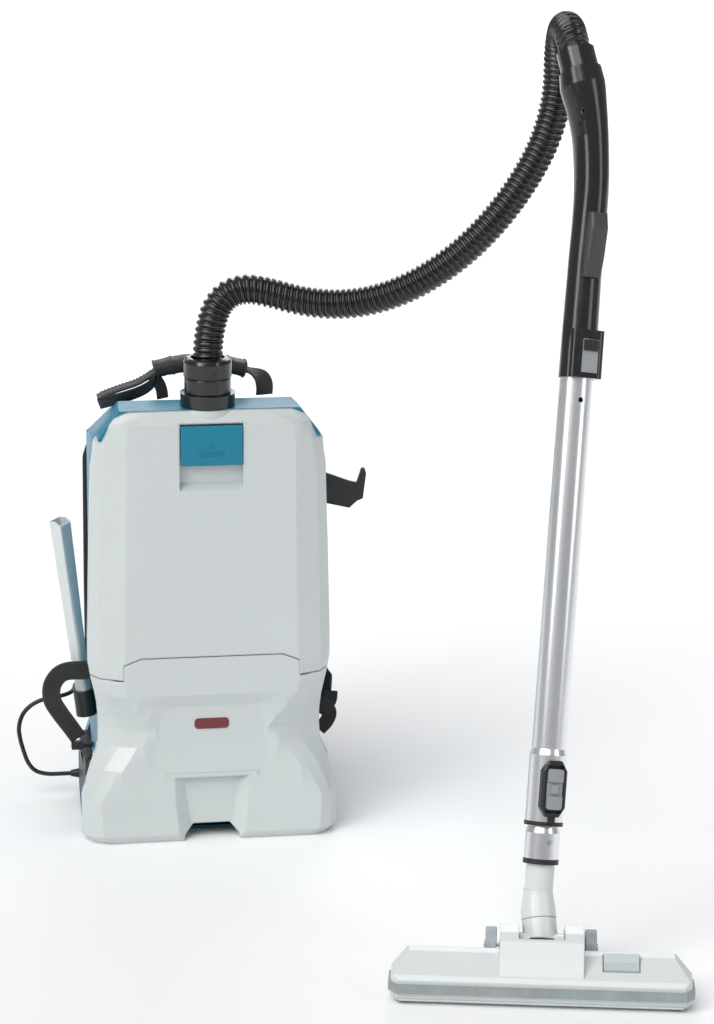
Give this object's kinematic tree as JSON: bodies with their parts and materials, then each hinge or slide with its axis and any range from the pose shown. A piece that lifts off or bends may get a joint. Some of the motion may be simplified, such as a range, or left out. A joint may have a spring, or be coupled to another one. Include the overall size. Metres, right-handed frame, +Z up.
{
  "type": "backpack vacuum cleaner",
  "caption": "Battery backpack vacuum with padded harness, hinged lid, corrugated hose, bent grip, telescopic wand and wheeled floor nozzle.",
  "frame": {"origin": "centre of the pack's base on the floor", "axes": "+Z up; -Y towards the pack's front cover; +Y towards the wearer's back; +X to the wearer's left"},
  "size_m": [0.6269, 0.7741, 0.9293],
  "materials": {
    "cover_white": "satin",
    "shell_teal": "satin",
    "badge_red": "gloss",
    "black_gloss": "gloss",
    "black_plastic": "matte",
    "grey_button": "satin",
    "guard_grey": "satin",
    "hose_black": "ribbed",
    "cord_black": "matte",
    "aluminium_tube": "brushed",
    "nozzle_plastic": "satin",
    "crevice_plastic": "satin",
    "bumper_rubber": "matte",
    "pedal_grey": "satin",
    "wheel_rubber": "matte",
    "steel": "brushed",
    "bristle": "bristle",
    "foot_rubber": "matte",
    "webbing": "woven",
    "pad_fabric": "padded mesh",
    "grip_vinyl": "grained vinyl",
    "bag_paper": "non-woven",
    "filter_media": "pleated",
    "inner_grey": "matte",
    "circuit": "gloss"
  },
  "bodies": {
    "pack": {"rear_shell": "shell_teal", "lower_cover": "cover_white", "hinge_pins": "steel", "badge_plate": "badge_red", "screws": "steel", "rubber_feet": "foot_rubber", "lid_gasket": "foot_rubber", "port_collar": "black_gloss", "dust_bag": "bag_paper", "filter_frame": "inner_grey", "pleated_filter": "filter_media", "motor_housing": "inner_grey", "motor_mounts": "foot_rubber", "control_board": "circuit", "terminal_blocks": "black_plastic", "back_pad": "pad_fabric", "shoulder_straps": "webbing", "waist_belt": "webbing", "belt_loop_strap": "webbing", "strap_buckle": "black_plastic", "carry_strap": "webbing", "carry_grip": "grip_vinyl", "side_hook": "black_plastic", "crevice_holder": "black_plastic", "hose": "hose_black", "control_cord": "cord_black", "cord_gland": "cord_black", "control_box": "black_plastic", "outer_pipe": "aluminium_tube", "flare_bush": "black_plastic", "slider_guide": "black_plastic", "handle_front_shell": "black_gloss", "handle_rear_shell": "black_gloss", "hand_guard": "guard_grey"},
    "lid": {"upper_lid": "cover_white"},
    "lid_latch": {"latch": "shell_teal"},
    "cuff": {"inlet_cuff": "black_gloss"},
    "sleeve": {"hose_sleeve": "black_gloss"},
    "pipe_button": {"release_button": "grey_button"},
    "telescope": {"inner_pipe": "aluminium_tube", "cuff_ring": "black_plastic", "nozzle_neck": "nozzle_plastic"},
    "telescope_slider": {"slider_lock": "grey_button"},
    "snap_pin": {"lock_pin": "steel"},
    "elbow_joint": {"elbow": "nozzle_plastic"},
    "nozzle_head": {"nozzle_housing": "nozzle_plastic", "sole_plate": "steel", "bumper_strip": "bumper_rubber", "nozzle_axles": "steel"},
    "left_wheel": {"wheel_left": "wheel_rubber"},
    "right_wheel": {"wheel_right": "wheel_rubber"},
    "rollers": {"front_rollers": "wheel_rubber"},
    "pedal": {"rocker_pedal": "pedal_grey"},
    "brush": {"brush_strip": "bristle"},
    "crevice_tool": {"crevice_nozzle": "crevice_plastic"},
    "left_battery": {"battery_left": "black_plastic"},
    "right_battery": {"battery_right": "black_plastic"},
    "fan": {"impeller": "inner_grey"},
    "power_key": {"power_button": "grey_button"},
    "mode_key": {"mode_button": "grey_button"}
  },
  "joints": [
    {"name": "lid_hinge", "type": "hinge", "parent": "pack", "child": "lid", "pos_m": [0, -0.096, 0.196], "axis": [1, 0, 0], "range_deg": [0, 75]},
    {"name": "latch_pivot", "type": "hinge", "parent": "lid", "child": "lid_latch", "pos_m": [0, -0.0955, 0.464], "axis": [-1, 0, 0], "range_deg": [0, 30], "stiffness_Nm_per_rad": 0.3, "springref_deg": -11.46},
    {"name": "cuff_swivel", "type": "hinge", "parent": "pack", "child": "cuff", "pos_m": [0, -0.062, 0.51], "axis": [0, 0, 1], "continuous": true},
    {"name": "sleeve_swivel", "type": "hinge", "parent": "pack", "child": "sleeve", "pos_m": [0.3506, -0.2856, 0.8734], "axis": [-0.1429, 0.4991, 0.8547], "continuous": true},
    {"name": "pipe_button_press", "type": "slide", "parent": "pack", "child": "pipe_button", "axis": [-0.155, 0.9526, -0.2616], "range_m": [0, 0.002], "stiffness_N_per_m": 600, "springref_m": -0.001},
    {"name": "telescope_slide", "type": "slide", "parent": "pack", "child": "telescope", "axis": [-0.1116, -0.28, -0.9535], "range_m": [0, 0.3]},
    {"name": "telescope_slider_move", "type": "slide", "parent": "pack", "child": "telescope_slider", "axis": [0.1116, 0.28, 0.9535], "range_m": [-0.003, 0.003]},
    {"name": "snap_pin_press", "type": "slide", "parent": "telescope", "child": "snap_pin", "axis": [-0.155, 0.9526, -0.2616], "range_m": [0, 0.002], "stiffness_N_per_m": 600, "springref_m": -0.001},
    {"name": "neck_swivel", "type": "hinge", "parent": "telescope", "child": "elbow_joint", "pos_m": [0.2761, -0.5433, 0.04], "axis": [0.0144, 0.54, 0.8416], "range_deg": [-60, 60]},
    {"name": "elbow_tilt", "type": "hinge", "parent": "elbow_joint", "child": "nozzle_head", "pos_m": [0.2761, -0.5433, 0.04], "axis": [0.9771, -0.213, 0], "range_deg": [-30, 40]},
    {"name": "wheel_left_spin", "type": "hinge", "parent": "nozzle_head", "child": "left_wheel", "pos_m": [0.29016, -0.47881, 0.018], "axis": [0.9771, -0.213, 0], "continuous": true},
    {"name": "wheel_right_spin", "type": "hinge", "parent": "nozzle_head", "child": "right_wheel", "pos_m": [0.29016, -0.47881, 0.018], "axis": [0.9771, -0.213, 0], "continuous": true},
    {"name": "roller_spin", "type": "hinge", "parent": "nozzle_head", "child": "rollers", "pos_m": [0.2679, -0.58092, 0.005], "axis": [0.9771, -0.213, 0], "continuous": true},
    {"name": "pedal_rock", "type": "hinge", "parent": "nozzle_head", "child": "pedal", "pos_m": [0.34805, -0.57946, 0.0342], "axis": [0.9771, -0.213, 0], "range_deg": [-8, 8]},
    {"name": "brush_lift", "type": "slide", "parent": "nozzle_head", "child": "brush", "axis": [0, 0, 1], "range_m": [-0.0016, 0.0016]},
    {"name": "crevice_tool_lift", "type": "slide", "parent": "pack", "child": "crevice_tool", "axis": [-0.1172, 0, 0.9931], "range_m": [0, 0.12]},
    {"name": "battery_left_slide", "type": "slide", "parent": "pack", "child": "left_battery", "axis": [1, 0, 0], "range_m": [0, 0.12]},
    {"name": "battery_right_slide", "type": "slide", "parent": "pack", "child": "right_battery", "axis": [-1, 0, 0], "range_m": [0, 0.12]},
    {"name": "fan_spin", "type": "hinge", "parent": "pack", "child": "fan", "pos_m": [0, 0, 0.12], "axis": [0, 0, 1], "continuous": true},
    {"name": "power_key_press", "type": "slide", "parent": "pack", "child": "power_key", "axis": [0, -1, 0], "range_m": [0, 0.0015], "stiffness_N_per_m": 400, "springref_m": -0.001},
    {"name": "mode_key_press", "type": "slide", "parent": "pack", "child": "mode_key", "axis": [0, -1, 0], "range_m": [0, 0.0015], "stiffness_N_per_m": 400, "springref_m": -0.001}
  ],
  "couplings": [
    {"joint": "brush_lift", "follows": "pedal_rock", "m_per_rad": 0.01}
  ]
}
